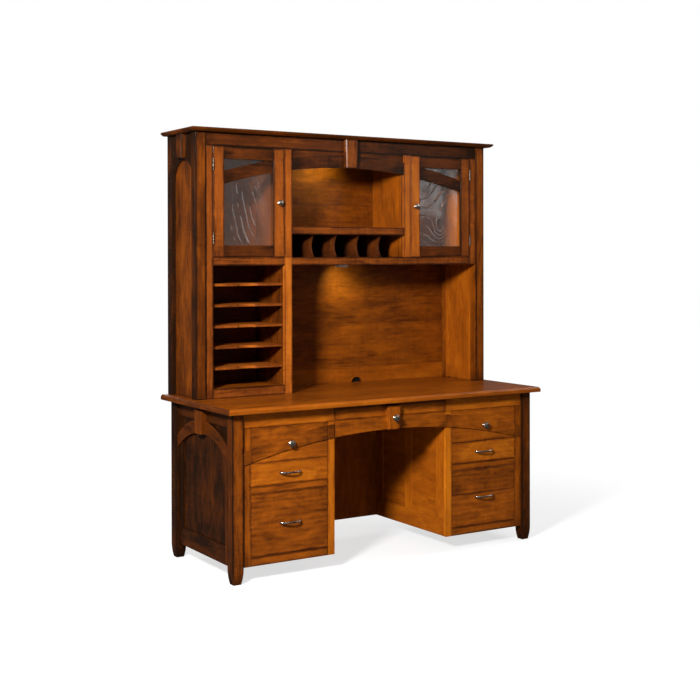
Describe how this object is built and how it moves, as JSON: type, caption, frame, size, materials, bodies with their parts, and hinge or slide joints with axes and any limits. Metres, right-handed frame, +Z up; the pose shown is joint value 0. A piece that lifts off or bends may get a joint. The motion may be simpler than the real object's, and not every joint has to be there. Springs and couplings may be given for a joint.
{
  "type": "wall desk",
  "caption": "Kneehole desk with arched drawer fronts and a hutch with glazed doors, letter trays, pigeonholes and open bays.",
  "frame": {"origin": "on the floor, at the middle of the bounding box's base, which is the middle of the desk top's outline", "axes": "+X to the right as seen from the sitter's side, +Y towards the wall, +Z up"},
  "size_m": [1.74, 0.712, 2.001],
  "materials": {
    "wood": "brown cherry stain under a satin to gloss lacquer, darker beside mouldings and edges",
    "drawer_wood": "clear satin lacquer",
    "pewter": "antique pewter, satin",
    "glass": "clear, wavy and seeded",
    "lamp": "satin, with a frosted lens"
  },
  "bodies": {
    "case": {"desk_top": "wood", "post_front_left": "wood", "post_front_right": "wood", "post_rear_left": "wood", "post_rear_right": "wood", "base_back": "wood", "centre_rail": "wood", "end_panel_left": "wood", "end_panel_right": "wood", "face_frame_left": "wood", "face_frame_right": "wood", "inner_side_left": "wood", "inner_side_right": "wood", "crown": "wood", "hutch_side_left": "wood", "hutch_side_right": "wood", "hutch_back": "wood", "hutch_face_frame": "wood", "partition_left": "wood", "partition_right": "wood", "main_shelf": "wood", "pigeonholes": "wood", "letter_tray_1": "wood", "letter_tray_2": "wood", "letter_tray_3": "wood", "letter_tray_4": "wood", "letter_tray_5": "wood", "hinge_left_lower": "pewter", "hinge_left_upper": "pewter", "hinge_right_lower": "pewter", "hinge_right_upper": "pewter", "lamp_lower": "lamp", "lamp_upper": "lamp"},
    "drawer_top_left": {"drawer_front_top_left": "wood", "drawer_box_top_left": "drawer_wood", "pull_top_left": "pewter"},
    "drawer_middle_left": {"drawer_front_middle_left": "wood", "drawer_box_middle_left": "drawer_wood", "pull_middle_left": "pewter"},
    "drawer_file_left": {"drawer_front_file_left": "wood", "drawer_box_file_left": "drawer_wood", "pull_file_left": "pewter"},
    "drawer_top_right": {"drawer_front_top_right": "wood", "drawer_box_top_right": "drawer_wood", "pull_top_right": "pewter"},
    "drawer_middle_right": {"drawer_front_middle_right": "wood", "drawer_box_middle_right": "drawer_wood", "pull_middle_right": "pewter"},
    "drawer_file_right": {"drawer_front_file_right": "wood", "drawer_box_file_right": "drawer_wood", "pull_file_right": "pewter"},
    "drawer_centre": {"drawer_front_centre": "wood", "drawer_box_centre": "drawer_wood", "pull_centre": "pewter"},
    "door_left": {"door_frame_left": "wood", "door_glass_left": "glass", "door_knob_left": "pewter"},
    "door_right": {"door_frame_right": "wood", "door_glass_right": "glass", "door_knob_right": "pewter"}
  },
  "joints": [
    {"name": "drawer_top_left_slide", "type": "slide", "parent": "case", "child": "drawer_top_left", "axis": [0, -1, 0], "range_m": [0, 0.4]},
    {"name": "drawer_middle_left_slide", "type": "slide", "parent": "case", "child": "drawer_middle_left", "axis": [0, -1, 0], "range_m": [0, 0.4]},
    {"name": "drawer_file_left_slide", "type": "slide", "parent": "case", "child": "drawer_file_left", "axis": [0, -1, 0], "range_m": [0, 0.4]},
    {"name": "drawer_top_right_slide", "type": "slide", "parent": "case", "child": "drawer_top_right", "axis": [0, -1, 0], "range_m": [0, 0.4]},
    {"name": "drawer_middle_right_slide", "type": "slide", "parent": "case", "child": "drawer_middle_right", "axis": [0, -1, 0], "range_m": [0, 0.4]},
    {"name": "drawer_file_right_slide", "type": "slide", "parent": "case", "child": "drawer_file_right", "axis": [0, -1, 0], "range_m": [0, 0.4]},
    {"name": "drawer_centre_slide", "type": "slide", "parent": "case", "child": "drawer_centre", "axis": [0, -1, 0], "range_m": [0, 0.35]},
    {"name": "door_left_hinge", "type": "hinge", "parent": "case", "child": "door_left", "pos_m": [-0.743, 0.046, 1.6665], "axis": [0, 0, 1], "range_deg": [-110, 0]},
    {"name": "door_right_hinge", "type": "hinge", "parent": "case", "child": "door_right", "pos_m": [0.743, 0.046, 1.6665], "axis": [0, 0, 1], "range_deg": [0, 110]}
  ]
}
